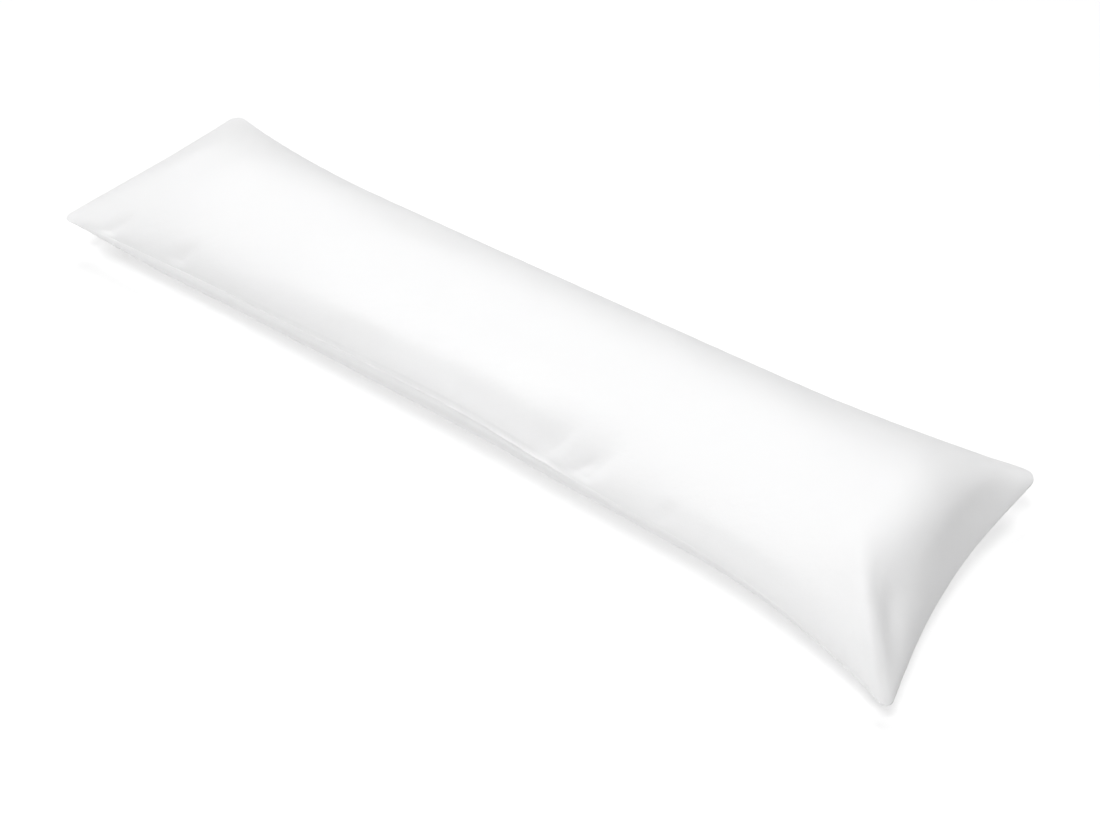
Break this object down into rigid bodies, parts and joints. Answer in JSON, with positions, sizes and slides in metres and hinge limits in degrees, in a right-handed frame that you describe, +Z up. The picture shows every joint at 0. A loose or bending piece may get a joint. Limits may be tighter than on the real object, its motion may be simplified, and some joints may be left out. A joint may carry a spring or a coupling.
{
  "type": "body pillow",
  "caption": "Long soft cushion for sleeping on one's side, evenly filled, with a crowned middle, drawn-in sides and pointed corners.",
  "frame": {"origin": "on the surface that the pillow rests on, under the middle of its bounding box", "axes": "+Z up, +X along the pillow towards the end with the shorter slope, -Y towards its front long side"},
  "size_m": [1.4142, 0.355, 0.1533],
  "materials": {
    "cover_cloth": "smooth, tightly woven white cotton, matt, undyed and without print"
  },
  "bodies": {
    "root": {"pillow": "cover_cloth"}
  },
  "joints": []
}
